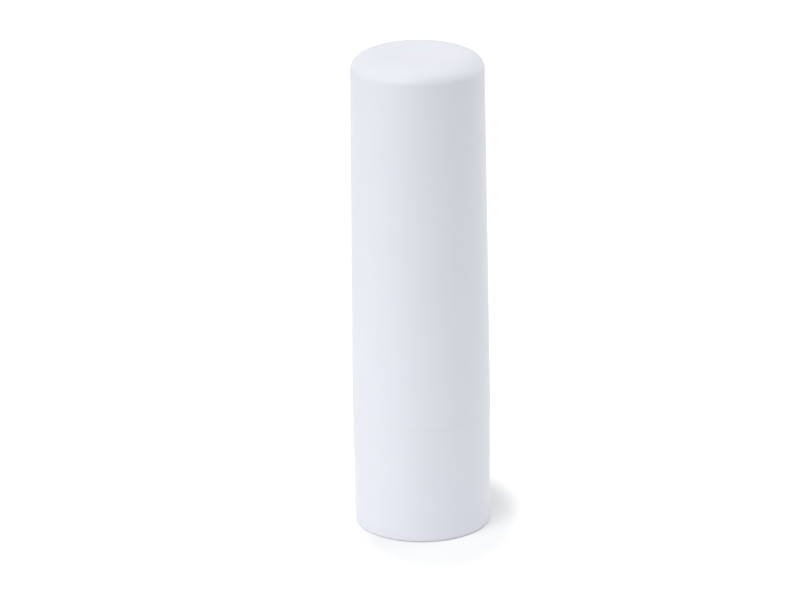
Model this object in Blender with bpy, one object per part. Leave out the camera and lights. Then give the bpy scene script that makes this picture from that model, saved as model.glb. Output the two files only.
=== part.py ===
"""A twist-up lip balm stick, closed: pull-off cap, twist base, drive screw, inner tube, elevator and balm.

The stick stands on its base with its axis on Z and the middle of its foot at the origin.
Turning the base against the tube winds the elevator up the drive screw, and the balm rises out of the tube.
"""

import math

import bmesh
import bpy
from mathutils import Matrix

MM = 0.001

# Outer form
TOTAL_HEIGHT = 67.0 * MM
SHOULDER_HEIGHT = 16.4 * MM  # top of the base, where the cap's mouth rests
CAP_MOUTH_RADIUS = 9.5 * MM  # the widest place of the stick
CAP_DRAFT = 0.45 * MM  # loss of radius from the cap's mouth to its top round
CAP_EDGE_WIDTH = 3.2 * MM  # of the rounded edge round the cap's top, seen from above
CAP_EDGE_HEIGHT = 2.1 * MM
DISH_DEPTH = 0.5 * MM  # shallow dish inside that edge
BASE_SETBACK = 0.05 * MM  # the base is this much narrower than the cap's mouth
BASE_DRAFT = 0.14 * MM  # loss of radius from the shoulder down to the foot
FOOT_ROUND = 0.4 * MM
RIM_ROUND = 0.15 * MM  # broken edges at the seam between cap and base

# Cap
CAP_WALL = 1.15 * MM
CAP_ROOF = 1.3 * MM
CAP_INNER_ROUND = 0.9 * MM
CAP_MOUTH_CHAMFER = 0.25 * MM
GRIP_RIB_COUNT = 6
GRIP_RIB_WIDTH = 0.8 * MM
GRIP_RIB_START = 2.0 * MM  # from the cap's mouth
GRIP_RIB_LENGTH = 13.0 * MM
GRIP_RIB_LEAD = 0.8 * MM  # sloped ends of the ribs

# Twist base
FOOT_WIDTH = 1.5 * MM  # flat ring that the stick stands on
FOOT_RECESS = 0.6 * MM
GATE_RADIUS = 1.4 * MM  # round sunk mark in the middle of the underside
GATE_DEPTH = 0.25 * MM
FLOOR_THICKNESS = 1.1 * MM
SOCKET_WALL = 1.0 * MM  # ring on the floor that holds the screw's foot
SOCKET_DEPTH = 2.0 * MM
BORE_CHAMFER = 0.3 * MM

# Drive screw
SCREW_CORE_RADIUS = 1.5 * MM
THREAD_DEPTH = 0.8 * MM
THREAD_ROOT_WIDTH = 1.5 * MM
THREAD_CREST_WIDTH = 0.8 * MM
THREAD_LEAD = 4.0 * MM  # rise for each turn
TRAVEL = 26.0 * MM  # of the elevator, from its seat up to the stop head
SPLINE_DEPTH = 0.5 * MM
SPLINE_COUNT = 10
SCREW_FOOT_HEIGHT = 2.2 * MM
SCREW_FILLET = 0.5 * MM
STOP_HEAD_HEIGHT = 0.9 * MM
STOP_HEAD_STAND = 0.7 * MM  # how far the stop head stands out from the core

# Inner tube
TUBE_WALL = 0.85 * MM
TUBE_MOUTH_ROUND = 0.3 * MM
SNAP_BEAD_HEIGHT = 0.5 * MM  # how far the bead stands out from the tube
SNAP_BEAD_WIDTH = 0.9 * MM
SNAP_BEAD_DROP = 8.0 * MM  # from the shoulder down to the bead's middle
GUIDE_RIB_COUNT = 4
GUIDE_RIB_WIDTH = 1.1 * MM
GUIDE_RIB_HEIGHT = 0.5 * MM
GUIDE_RIB_LEAD = 0.6 * MM
GUIDE_RIB_INSET = 1.2 * MM  # from each end of the tube

# Elevator
ELEVATOR_FLOOR = 1.0 * MM
ELEVATOR_HEIGHT = 6.0 * MM
ELEVATOR_WALL = 1.1 * MM
ELEVATOR_STAY = 3.2 * MM  # how far the raised elevator's rim stays below the tube's mouth
NUT_WALL = 1.1 * MM
NUT_HEIGHT = 3.5 * MM
VANE_COUNT = 4
VANE_THICKNESS = 0.7 * MM
VANE_HEIGHT = 2.6 * MM  # above the elevator's floor

# Balm
BALM_RECESS = 1.0 * MM  # its tip lies this far below the tube's mouth when wound down
BALM_DOME = 2.6 * MM

# Clearances
SEAT_GAP = 0.2 * MM  # between faces that rest on each other
RUNNING_CLEARANCE = 0.15 * MM  # tube in base
CAP_CLEARANCE = 0.1 * MM  # tube in the narrowest part of the cap
GRIP_CLEARANCE = 0.1 * MM  # cap ribs on tube
SOCKET_CLEARANCE = 0.5 * MM  # guide ribs round the socket
SLIDING_CLEARANCE = 0.2 * MM  # elevator in tube
THREAD_CLEARANCE = 0.2 * MM
BALM_GAP = 0.15 * MM  # balm against what it was cast in

# Fineness of the meshes
ROUND_SEGMENTS = 64
SCREW_SEGMENTS = 24
ARC_STEPS = 6
THREAD_FADE_TURNS = 0.4
WELD = 0.0001 * MM
OVERRUN = 0.5 * MM  # how far a cutter runs past what it cuts
SINK = 0.25 * MM  # how far a rib is sunk into the wall that carries it
SMOOTH_ANGLE = math.radians(35.0)

# Radii from the outside in
cap_top_radius = CAP_MOUTH_RADIUS - CAP_DRAFT
cap_bore_radius = CAP_MOUTH_RADIUS - CAP_WALL
cap_top_bore_radius = cap_top_radius - CAP_WALL
base_top_radius = CAP_MOUTH_RADIUS - BASE_SETBACK
base_bottom_radius = base_top_radius - BASE_DRAFT
tube_radius = cap_top_bore_radius - CAP_CLEARANCE
bead_radius = tube_radius + SNAP_BEAD_HEIGHT
base_bore_radius = tube_radius + RUNNING_CLEARANCE
tube_bore_radius = tube_radius - TUBE_WALL
guide_rib_radius = tube_bore_radius - GUIDE_RIB_HEIGHT
socket_radius = guide_rib_radius - SOCKET_CLEARANCE
socket_bore_radius = socket_radius - SOCKET_WALL
spline_tip_radius = socket_bore_radius - SEAT_GAP
spline_root_radius = spline_tip_radius - SPLINE_DEPTH
elevator_radius = tube_bore_radius - SLIDING_CLEARANCE
cup_radius = elevator_radius - ELEVATOR_WALL
crest_radius = SCREW_CORE_RADIUS + THREAD_DEPTH
screw_bore_radius = crest_radius + THREAD_CLEARANCE  # of the balm, round the screw
nut_bore_radius = SCREW_CORE_RADIUS + THREAD_CLEARANCE
nut_radius = screw_bore_radius + NUT_WALL

# Heights from the foot up
floor_top = FOOT_RECESS + FLOOR_THICKNESS
screw_seat = floor_top + SEAT_GAP
screw_foot_top = screw_seat + SCREW_FOOT_HEIGHT
tube_seat = floor_top + SEAT_GAP
elevator_seat = screw_foot_top + SEAT_GAP
tube_mouth = elevator_seat + TRAVEL + ELEVATOR_HEIGHT + ELEVATOR_STAY
tube_length = tube_mouth - tube_seat
bead_height = SHOULDER_HEIGHT - SNAP_BEAD_DROP
stop_head_seat = elevator_seat + NUT_HEIGHT + TRAVEL + SEAT_GAP
screw_tip = stop_head_seat + STOP_HEAD_HEIGHT
screw_length = screw_tip - screw_seat
balm_seat = elevator_seat + ELEVATOR_FLOOR + BALM_GAP
balm_tip = tube_mouth - BALM_RECESS
cap_seat = SHOULDER_HEIGHT + SEAT_GAP
cap_height = TOTAL_HEIGHT - cap_seat


def material(name, colour, roughness):
    """A plain moulded or cast finish."""
    made = bpy.data.materials.new(name)
    made.use_nodes = True
    shader = made.node_tree.nodes["Principled BSDF"]
    shader.inputs["Base Color"].default_value = (*colour, 1.0)
    shader.inputs["Roughness"].default_value = roughness
    shader.inputs["Metallic"].default_value = 0.0
    made.diffuse_color = (*colour, 1.0)
    return made


def solid(name, bm):
    """An object that holds the closed mesh bm, with its faces pointing out."""
    bmesh.ops.remove_doubles(bm, verts=bm.verts, dist=WELD)
    bmesh.ops.recalc_face_normals(bm, faces=bm.faces)
    if bm.calc_volume(signed=True) < 0.0:
        bmesh.ops.reverse_faces(bm, faces=bm.faces)
    mesh = bpy.data.meshes.new(name)
    bm.to_mesh(mesh)
    bm.free()
    mesh.shade_smooth()
    mesh.set_sharp_from_angle(angle=SMOOTH_ANGLE)
    made = bpy.data.objects.new(name, mesh)
    bpy.context.scene.collection.objects.link(made)
    return made


def arc(centre_radius, centre_height, radius, start, end, rise=None):
    """Points of a round of the section, from angle start to angle end in degrees, 0 outwards and 90 up.

    The round is as high as it is wide, or as high as rise.
    """
    rise = rise or radius
    angles = [math.radians(start + (end - start) * step / ARC_STEPS) for step in range(ARC_STEPS + 1)]
    return [(centre_radius + radius * math.cos(a), centre_height + rise * math.sin(a)) for a in angles]


def turned(name, profile, segments=ROUND_SEGMENTS):
    """The section profile, as (radius, height) points in order, turned once round Z."""
    bm = bmesh.new()
    points = [bm.verts.new((radius, 0.0, height)) for radius, height in profile]
    edges = [bm.edges.new(pair) for pair in zip(points, points[1:])]
    if profile[0][0] > 0.0:
        edges.append(bm.edges.new((points[-1], points[0])))
    bmesh.ops.spin(
        bm,
        geom=points + edges,
        cent=(0.0, 0.0, 0.0),
        axis=(0.0, 0.0, 1.0),
        angle=math.tau,
        steps=segments,
        use_merge=True,
    )
    return solid(name, bm)


def radial_bars(name, count, inner, outer, width, low, high, lead=0.0):
    """Bars spread evenly round Z, from radius inner to outer, whose inner edges slope back by lead at both ends."""
    bm = bmesh.new()
    for index in range(count):
        corners = bmesh.ops.create_cube(bm, size=1.0)["verts"]
        for corner in corners:
            slope = lead if corner.co.x < 0.0 else 0.0
            corner.co.x = inner if corner.co.x < 0.0 else outer
            corner.co.y *= width
            corner.co.z = low + slope if corner.co.z < 0.0 else high - slope
        turn = Matrix.Rotation(math.tau * index / count, 3, "Z")
        bmesh.ops.rotate(bm, verts=corners, cent=(0.0, 0.0, 0.0), matrix=turn)
    return solid(name, bm)


def splined_prism(name, root_radius, tip_radius, low, high):
    """An upright prism with SPLINE_COUNT teeth, each a third of its pitch wide at the tip."""
    bm = bmesh.new()
    tooth_shares = ((0.0, False), (0.12, True), (0.45, True), (0.57, False))
    outline = []
    for tooth in range(SPLINE_COUNT):
        for share, at_tip in tooth_shares:
            angle = math.tau * (tooth + share) / SPLINE_COUNT
            radius = tip_radius if at_tip else root_radius
            outline.append(bm.verts.new((radius * math.cos(angle), radius * math.sin(angle), low)))
    face = bm.faces.new(outline)
    raised = bmesh.ops.extrude_face_region(bm, geom=[face])["geom"]
    for vertex in raised:
        if isinstance(vertex, bmesh.types.BMVert):
            vertex.co.z = high
    return solid(name, bm)


def helical_ridge(name, sunk, crest, root_width, crest_width, low, high, datum, fade_turns):
    """A left-hand ridge round Z, whose middle passes angle 0 at height datum.

    It climbs from height low to high, and its crest sinks back towards radius sunk over fade_turns at each end.
    """
    bm = bmesh.new()
    turns = (high - low) / THREAD_LEAD
    steps = math.ceil(turns * SCREW_SEGMENTS)
    sections = []
    for step in range(steps + 1):
        height = low + (high - low) * step / steps
        angle = -math.tau * (height - datum) / THREAD_LEAD
        from_end = (min(step, steps - step) + 1) / steps * turns
        rise = min(1.0, from_end / fade_turns) if fade_turns else 1.0
        top = sunk + (crest - sunk) * rise
        corners = (
            (sunk, -root_width / 2),
            (top, -crest_width / 2),
            (top, crest_width / 2),
            (sunk, root_width / 2),
        )
        sections.append(
            [bm.verts.new((r * math.cos(angle), r * math.sin(angle), height + dz)) for r, dz in corners]
        )
    for first, second in zip(sections, sections[1:]):
        for corner in range(len(first)):
            follower = (corner + 1) % len(first)
            bm.faces.new((first[corner], first[follower], second[follower], second[corner]))
    bm.faces.new(sections[0])
    bm.faces.new(sections[-1])
    bmesh.ops.triangulate(bm, faces=bm.faces)
    return solid(name, bm)


def combine(target, tool, operation):
    """Joins tool to target or cuts it away, and keeps tool as a hidden helper."""
    modifier = target.modifiers.new(tool.name, "BOOLEAN")
    modifier.operation = operation
    modifier.solver = "EXACT"
    modifier.object = tool
    tool.parent = target
    tool.hide_render = True
    tool.display_type = "WIRE"


def place(piece, parent, height, finish):
    """Puts piece on the axis in its finish, under parent, with its origin at this height above the foot."""
    piece.data.materials.append(finish)
    parent_height = 0.0
    if parent:
        piece.parent = parent
        parent_height = parent.matrix_world.translation.z
    piece.location.z = height - parent_height
    bpy.context.view_layer.update()
    return piece


def cap_section():
    """The cap's section in its own frame, with its mouth at height 0."""
    crest = cap_top_radius - CAP_EDGE_WIDTH
    section = []
    for step in range(ARC_STEPS):
        share = step / ARC_STEPS
        fall = DISH_DEPTH * (1 + math.cos(math.pi * share)) / 2
        section.append((crest * share, cap_height - fall))
    section += arc(crest, cap_height - CAP_EDGE_HEIGHT, CAP_EDGE_WIDTH, 90.0, 0.0, CAP_EDGE_HEIGHT)
    section += arc(CAP_MOUTH_RADIUS - RIM_ROUND, RIM_ROUND, RIM_ROUND, 0.0, -90.0)
    section += [(cap_bore_radius + CAP_MOUTH_CHAMFER, 0.0), (cap_bore_radius, CAP_MOUTH_CHAMFER)]
    ceiling = cap_height - DISH_DEPTH - CAP_ROOF
    corner = cap_top_bore_radius - CAP_INNER_ROUND
    section += arc(corner, ceiling - CAP_INNER_ROUND, CAP_INNER_ROUND, 0.0, 90.0)
    section.append((0.0, ceiling))
    return section


def make_cap():
    cap = turned("cap", cap_section())
    ribs = radial_bars(
        "cap_grip_ribs",
        GRIP_RIB_COUNT,
        tube_radius + GRIP_CLEARANCE,
        cap_bore_radius + SINK,
        GRIP_RIB_WIDTH,
        GRIP_RIB_START,
        GRIP_RIB_START + GRIP_RIB_LENGTH,
        GRIP_RIB_LEAD,
    )
    combine(cap, ribs, "UNION")
    return cap


def base_section():
    """The twist base's section, standing on height 0, before its socket is cut."""
    foot_inner = base_bottom_radius - FOOT_ROUND - FOOT_WIDTH
    socket_top = floor_top + SOCKET_DEPTH
    groove_radius = bead_radius + RUNNING_CLEARANCE
    groove_half = SNAP_BEAD_WIDTH / 2 + SEAT_GAP
    groove_ramp = groove_radius - base_bore_radius
    section = [
        (0.0, FOOT_RECESS + GATE_DEPTH),
        (GATE_RADIUS, FOOT_RECESS + GATE_DEPTH),
        (GATE_RADIUS, FOOT_RECESS),
        (foot_inner, FOOT_RECESS),
        (foot_inner, 0.0),
    ]
    section += arc(base_bottom_radius - FOOT_ROUND, FOOT_ROUND, FOOT_ROUND, -90.0, 0.0)
    section += arc(base_top_radius - RIM_ROUND, SHOULDER_HEIGHT - RIM_ROUND, RIM_ROUND, 0.0, 90.0)
    section += [
        (base_bore_radius + BORE_CHAMFER, SHOULDER_HEIGHT),
        (base_bore_radius, SHOULDER_HEIGHT - BORE_CHAMFER),
        (base_bore_radius, bead_height + groove_half + groove_ramp),
        (groove_radius, bead_height + groove_half),
        (groove_radius, bead_height - groove_half),
        (base_bore_radius, bead_height - groove_half - groove_ramp),
        (base_bore_radius, floor_top),
        (socket_radius, floor_top),
        (socket_radius, socket_top),
        (0.0, socket_top),
    ]
    return section


def make_base():
    base = turned("twist_base", base_section())
    splines = splined_prism(
        "base_socket_cut",
        spline_root_radius + SEAT_GAP,
        spline_tip_radius + SEAT_GAP,
        floor_top,
        floor_top + SOCKET_DEPTH + OVERRUN,
    )
    combine(base, splines, "DIFFERENCE")
    return base


def screw_section():
    """The screw's core, from inside its foot up to its stop head, in its own frame."""
    head_radius = SCREW_CORE_RADIUS + STOP_HEAD_STAND
    head_low = stop_head_seat - screw_seat
    return [
        (0.0, SCREW_FOOT_HEIGHT - SINK),
        (SCREW_CORE_RADIUS + SCREW_FILLET, SCREW_FOOT_HEIGHT - SINK),
        (SCREW_CORE_RADIUS + SCREW_FILLET, SCREW_FOOT_HEIGHT),
        (SCREW_CORE_RADIUS, SCREW_FOOT_HEIGHT + SCREW_FILLET),
        (SCREW_CORE_RADIUS, head_low),
        (head_radius, head_low),
        (head_radius, head_low + STOP_HEAD_HEIGHT / 3),
        (SCREW_CORE_RADIUS, screw_length),
        (0.0, screw_length),
    ]


def make_screw():
    screw = turned("drive_screw", screw_section(), SCREW_SEGMENTS)
    foot = splined_prism("screw_foot", spline_root_radius, spline_tip_radius, 0.0, SCREW_FOOT_HEIGHT)
    combine(screw, foot, "UNION")
    half_ridge = THREAD_ROOT_WIDTH / 2
    ridge = helical_ridge(
        "screw_thread",
        SCREW_CORE_RADIUS - SINK,
        crest_radius,
        THREAD_ROOT_WIDTH,
        THREAD_CREST_WIDTH,
        SCREW_FOOT_HEIGHT + half_ridge,
        stop_head_seat - screw_seat - half_ridge,
        SCREW_FOOT_HEIGHT,
        THREAD_FADE_TURNS,
    )
    combine(screw, ridge, "UNION")
    return screw


def tube_section():
    """The inner tube's section in its own frame, with its lower end at height 0."""
    bead_middle = bead_height - tube_seat
    bead_half = SNAP_BEAD_WIDTH / 2
    section = [
        (tube_bore_radius, 0.0),
        (tube_radius - TUBE_MOUTH_ROUND, 0.0),
        (tube_radius, TUBE_MOUTH_ROUND),
        (tube_radius, bead_middle - bead_half - SNAP_BEAD_HEIGHT),
        (bead_radius, bead_middle - bead_half),
        (bead_radius, bead_middle + bead_half),
        (tube_radius, bead_middle + bead_half + SNAP_BEAD_HEIGHT),
    ]
    section += arc(tube_radius - TUBE_MOUTH_ROUND, tube_length - TUBE_MOUTH_ROUND, TUBE_MOUTH_ROUND, 0.0, 90.0)
    section.append((tube_bore_radius, tube_length))
    return section


def make_tube():
    tube = turned("inner_tube", tube_section())
    ribs = radial_bars(
        "tube_guide_ribs",
        GUIDE_RIB_COUNT,
        guide_rib_radius,
        tube_bore_radius + SINK,
        GUIDE_RIB_WIDTH,
        GUIDE_RIB_INSET,
        tube_length - GUIDE_RIB_INSET,
        GUIDE_RIB_LEAD,
    )
    combine(tube, ribs, "UNION")
    return tube


def rib_slots(name, clearance, low, high):
    """Cutters for what slides along the tube's guide ribs with this clearance."""
    return radial_bars(
        name,
        GUIDE_RIB_COUNT,
        guide_rib_radius - clearance,
        tube_bore_radius + OVERRUN,
        GUIDE_RIB_WIDTH + 2 * clearance,
        low - OVERRUN,
        high + OVERRUN,
    )


def vane_bars(name, gap):
    """The elevator's vanes in its own frame, or with a gap the slots that they leave in the balm."""
    bars = radial_bars(
        name,
        VANE_COUNT,
        nut_radius - SINK,
        cup_radius + SINK,
        VANE_THICKNESS + 2 * gap,
        ELEVATOR_FLOOR - SINK,
        ELEVATOR_FLOOR + VANE_HEIGHT + gap,
    )
    bars.data.transform(Matrix.Rotation(math.pi / VANE_COUNT, 4, "Z"))
    return bars


def elevator_section():
    """The elevator's section in its own frame: a cup with a nut in its middle."""
    return [
        (nut_bore_radius + SCREW_FILLET, 0.0),
        (elevator_radius, 0.0),
        (elevator_radius, ELEVATOR_HEIGHT),
        (cup_radius, ELEVATOR_HEIGHT),
        (cup_radius, ELEVATOR_FLOOR),
        (nut_radius, ELEVATOR_FLOOR),
        (nut_radius, NUT_HEIGHT),
        (nut_bore_radius, NUT_HEIGHT),
        (nut_bore_radius, SCREW_FILLET),
    ]


def make_elevator():
    elevator = turned("elevator", elevator_section())
    combine(elevator, vane_bars("elevator_vanes", 0.0), "UNION")
    combine(elevator, rib_slots("elevator_keyways", SLIDING_CLEARANCE, 0.0, ELEVATOR_HEIGHT), "DIFFERENCE")
    groove = helical_ridge(
        "elevator_thread_cut",
        nut_bore_radius - SINK,
        screw_bore_radius,
        THREAD_ROOT_WIDTH + 2 * THREAD_CLEARANCE,
        THREAD_CREST_WIDTH + 2 * THREAD_CLEARANCE,
        -THREAD_LEAD,
        NUT_HEIGHT + THREAD_LEAD,
        screw_foot_top - elevator_seat,
        0.0,
    )
    combine(elevator, groove, "DIFFERENCE")
    return elevator


def balm_section():
    """The balm's section in its own frame: cast in the cup, filling the tube, domed at its tip."""
    stick_radius = tube_bore_radius - BALM_GAP
    stick_length = balm_tip - balm_seat
    dome_low = stick_length - BALM_DOME
    cup_top = elevator_seat + ELEVATOR_HEIGHT + BALM_GAP - balm_seat
    nut_top = elevator_seat + NUT_HEIGHT + BALM_GAP - balm_seat
    bore_top = screw_tip + SEAT_GAP - balm_seat
    section = [
        (0.0, bore_top),
        (screw_bore_radius, bore_top),
        (screw_bore_radius, nut_top),
        (nut_radius + BALM_GAP, nut_top),
        (nut_radius + BALM_GAP, 0.0),
        (cup_radius - BALM_GAP, 0.0),
        (cup_radius - BALM_GAP, cup_top),
        (stick_radius, cup_top),
    ]
    for step in range(ARC_STEPS):
        angle = math.pi / 2 * step / ARC_STEPS
        section.append((stick_radius * math.cos(angle), dome_low + BALM_DOME * math.sin(angle)))
    section.append((0.0, stick_length))
    return section


def make_balm():
    balm = turned("balm", balm_section())
    combine(balm, rib_slots("balm_rib_grooves", BALM_GAP, 0.0, balm_tip - balm_seat), "DIFFERENCE")
    vane_slots = vane_bars("balm_vane_slots", BALM_GAP)
    vane_slots.data.transform(Matrix.Translation((0.0, 0.0, elevator_seat - balm_seat)))
    combine(balm, vane_slots, "DIFFERENCE")
    return balm


def clear_scene():
    for old in list(bpy.data.objects):
        bpy.data.objects.remove(old)


def main():
    clear_scene()
    white = material("white_polypropylene", (0.86, 0.87, 0.90), 0.38)
    natural = material("natural_polypropylene", (0.84, 0.85, 0.86), 0.45)
    acetal = material("white_acetal", (0.80, 0.80, 0.80), 0.35)
    wax = material("cream_wax", (0.90, 0.86, 0.74), 0.5)

    base = place(make_base(), None, 0.0, white)
    place(make_screw(), base, screw_seat, acetal)
    tube = place(make_tube(), base, tube_seat, natural)
    elevator = place(make_elevator(), tube, elevator_seat, acetal)
    place(make_balm(), elevator, balm_seat, wax)
    place(make_cap(), tube, cap_seat, white)


main()
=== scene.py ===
# %% [markdown]
# # A white lip balm stick on a white ground
# The real thing is a closed twist-up stick: a long push-on cap over a short base that is turned to raise the balm.
# It is plain and unprinted, so everything the eye gets comes from its form, its satin plastic and soft light.
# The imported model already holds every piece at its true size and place. It is loaded first, and each piece made
# below takes its place from it, so nothing has to be fitted by eye afterwards.

# %% Load the frame
import math

import bpy
import numpy as np
from mathutils import Euler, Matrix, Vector


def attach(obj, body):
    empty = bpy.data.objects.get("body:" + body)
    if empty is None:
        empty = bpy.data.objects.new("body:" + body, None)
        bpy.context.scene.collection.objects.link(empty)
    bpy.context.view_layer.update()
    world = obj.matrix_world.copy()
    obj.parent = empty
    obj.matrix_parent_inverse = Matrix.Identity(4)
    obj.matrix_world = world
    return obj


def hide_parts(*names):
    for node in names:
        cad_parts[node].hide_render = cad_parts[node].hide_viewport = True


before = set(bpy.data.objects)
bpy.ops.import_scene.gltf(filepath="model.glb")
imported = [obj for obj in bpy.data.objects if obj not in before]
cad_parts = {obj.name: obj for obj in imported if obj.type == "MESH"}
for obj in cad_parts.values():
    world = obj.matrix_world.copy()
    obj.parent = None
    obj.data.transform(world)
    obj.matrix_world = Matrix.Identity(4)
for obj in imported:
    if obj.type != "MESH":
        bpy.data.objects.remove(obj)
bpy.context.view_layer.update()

# %% [markdown]
# ## Units
# Mould drawings are in millimetres, and Blender works in metres. All shapes below are worked out in millimetres and
# scaled once, when their mesh is made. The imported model's pieces are read the same way, as a largest radius and a
# lowest and highest point. Its file holds 32-bit numbers, so what is read is rounded to a thousandth of a millimetre.

# %% Read sizes from the frame
MM = 0.001


def extent(node):
    """The largest radius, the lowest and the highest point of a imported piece, in millimetres."""
    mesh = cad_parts[node].data
    points = np.empty(len(mesh.vertices) * 3, dtype=np.float32)
    mesh.vertices.foreach_get("co", points)
    across, along, up = points.reshape(-1, 3).T.astype(float) / MM
    return [round(float(size), 3) for size in (np.hypot(across, along).max(), up.min(), up.max())]


CAP_RADIUS, CAP_LOW, CAP_HIGH = extent("cap")
BASE_RADIUS, BASE_LOW, BASE_HIGH = extent("twist_base")
BEAD_RADIUS, TUBE_LOW, TUBE_HIGH = extent("inner_tube")
SPLINE_RADIUS, SCREW_LOW, SCREW_HIGH = extent("drive_screw")
ELEVATOR_RADIUS, ELEVATOR_LOW, ELEVATOR_HIGH = extent("elevator")
BALM_RADIUS, BALM_LOW, BALM_HIGH = extent("balm")
print(f"cap {CAP_RADIUS:.2f} mm in radius, from {CAP_LOW:.2f} to {CAP_HIGH:.2f} mm up")

# %% [markdown]
# ## The camera
# The photograph looks slightly down on the stick through a long lens, so the sides stay almost parallel. The stick's
# outline gives the rest: how the top and foot ellipses differ gives the height of the camera, and how the sides
# converge gives its distance. The stick also leans a little in the picture, which is a small roll of the camera.
# It could be framed by eye, but a camera worked out from the outline lets the render be laid over the photograph.

# %% Set the camera
CAMERA_DISTANCE = 600.0  # from the middle of the stick, in mm
CAMERA_ELEVATION = math.radians(19.36)
CAMERA_ROLL = math.radians(-0.68)
AIM_HEIGHT = 34.0  # the point of the axis that the camera looks at
FOCAL_PIXELS = 4403.0
PICTURE_WIDTH = 800
PICTURE_HEIGHT = 600
AIM_PIXEL = (420.0, 285.7)  # where the aim point falls in the picture
SENSOR_WIDTH = 36.0

camera_data = bpy.data.cameras.new("camera")
camera_data.sensor_width = SENSOR_WIDTH
camera_data.lens = FOCAL_PIXELS * SENSOR_WIDTH / PICTURE_WIDTH
camera_data.shift_x = (PICTURE_WIDTH / 2 - AIM_PIXEL[0]) / PICTURE_WIDTH
camera_data.shift_y = (AIM_PIXEL[1] - PICTURE_HEIGHT / 2) / PICTURE_WIDTH
camera_data.clip_start = 10 * MM
camera_data.clip_end = 20000 * MM
camera = bpy.data.objects.new("camera", camera_data)
bpy.context.scene.collection.objects.link(camera)
towards_camera = Vector((0.0, -math.cos(CAMERA_ELEVATION), math.sin(CAMERA_ELEVATION)))
camera.location = Vector((0.0, 0.0, AIM_HEIGHT * MM)) + towards_camera * CAMERA_DISTANCE * MM
level = (-towards_camera).to_track_quat("-Z", "Y")
camera.rotation_euler = (level @ Euler((0.0, 0.0, CAMERA_ROLL)).to_quaternion()).to_euler()
bpy.context.scene.camera = camera
print(f"lens {camera_data.lens:.1f} mm, shift {camera_data.shift_x:.4f}, {camera_data.shift_y:.4f}")

# %% [markdown]
# ## Sections
# Every piece of the stick is turned or moulded round one axis. On paper such a piece is half a section: a line of
# radius and height. The section could be typed as hundreds of points, but a drawing gives it as a few corners, each
# with its own rounding, so that is what `section` takes. Real moulded plastic has no sharp corner anywhere, and the
# small roundings are what catches the light.

# %% Round the corners of a section
def section(corners, arc_steps=6, longest=1.5, closed=False):
    """The radius and height of each row of a turned piece, in mm, from corners of (radius, height, rounding).

    A rounding R is an arc that touches both sides of its corner. It starts and ends R / tan(h) from the corner,
    where h is half the corner's angle, and its centre lies R / sin(h) from the corner, on the line that halves it.
    Straight runs are cut into steps no longer than longest. The ends, or a corner with no rounding, stay sharp.
    A closed section joins its last corner to its first.
    """
    corners = np.array(corners, dtype=float)
    place, rounding = corners[:, :2], corners[:, 2:]
    back = np.roll(place, 1, axis=0) - place
    on = np.roll(place, -1, axis=0) - place
    back /= np.linalg.norm(back, axis=1, keepdims=True)
    on /= np.linalg.norm(on, axis=1, keepdims=True)
    cosine = np.clip(np.sum(back * on, axis=1, keepdims=True), -1.0, 1.0)
    half = np.arccos(cosine) / 2
    middle = back + on
    middle /= np.maximum(np.linalg.norm(middle, axis=1, keepdims=True), 1e-9)
    centre = middle * rounding / np.sin(half)
    start = back * rounding / np.tan(half) - centre
    end = on * rounding / np.tan(half) - centre
    sweep = math.pi - 2 * half
    share = np.linspace(0.0, 1.0, arc_steps + 1)
    weights = np.sin(np.stack([(1 - share) * sweep, share * sweep])) / np.maximum(np.sin(sweep), 1e-9)
    arcs = start[:, None] * weights[0][..., None] + end[:, None] * weights[1][..., None]
    points = (place[:, None] + centre[:, None] + arcs).reshape(-1, 2)
    if not closed:
        return evenly(points, longest)
    return evenly(np.vstack([points, points[:1]]), longest)[:-1]


def evenly(points, longest):
    """The same line without repeated points, with every run cut into equal steps no longer than longest."""
    gaps = np.linalg.norm(np.diff(points, axis=0), axis=1)
    points = points[np.append(gaps > 1e-5, True)]
    runs = np.diff(points, axis=0)
    pieces = np.ceil(np.linalg.norm(runs, axis=1) / longest).astype(int)
    run = np.repeat(np.arange(len(pieces)), pieces)
    step = np.arange(len(run)) - np.repeat(np.cumsum(pieces) - pieces, pieces)
    inner = points[run] + runs[run] * (step / pieces[run])[:, None]
    return np.vstack([inner, points[-1:]])


def ease(value):
    """0 below 0, 1 above 1, and between them the smooth step 3 v^2 - 2 v^3."""
    value = np.clip(value, 0.0, 1.0)
    return value * value * (3.0 - 2.0 * value)


corner_test = section([(0.0, 0.0, 0.0), (10.0, 0.0, 2.0), (10.0, -10.0, 0.0)])
print("a corner rounded by 2 mm has", len(corner_test), "points")

# %% [markdown]
# ## From a section to a surface
# Blender's Screw modifier could turn the section, but then ribs and threads would have to be cut in with Booleans,
# which leave ragged faces that bend the highlights. Here the surface is a grid instead: rows along the section and
# columns round the axis. A rib or a thread is then only a change of the radius at some rows and columns, and every
# face stays a clean quad.

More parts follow.
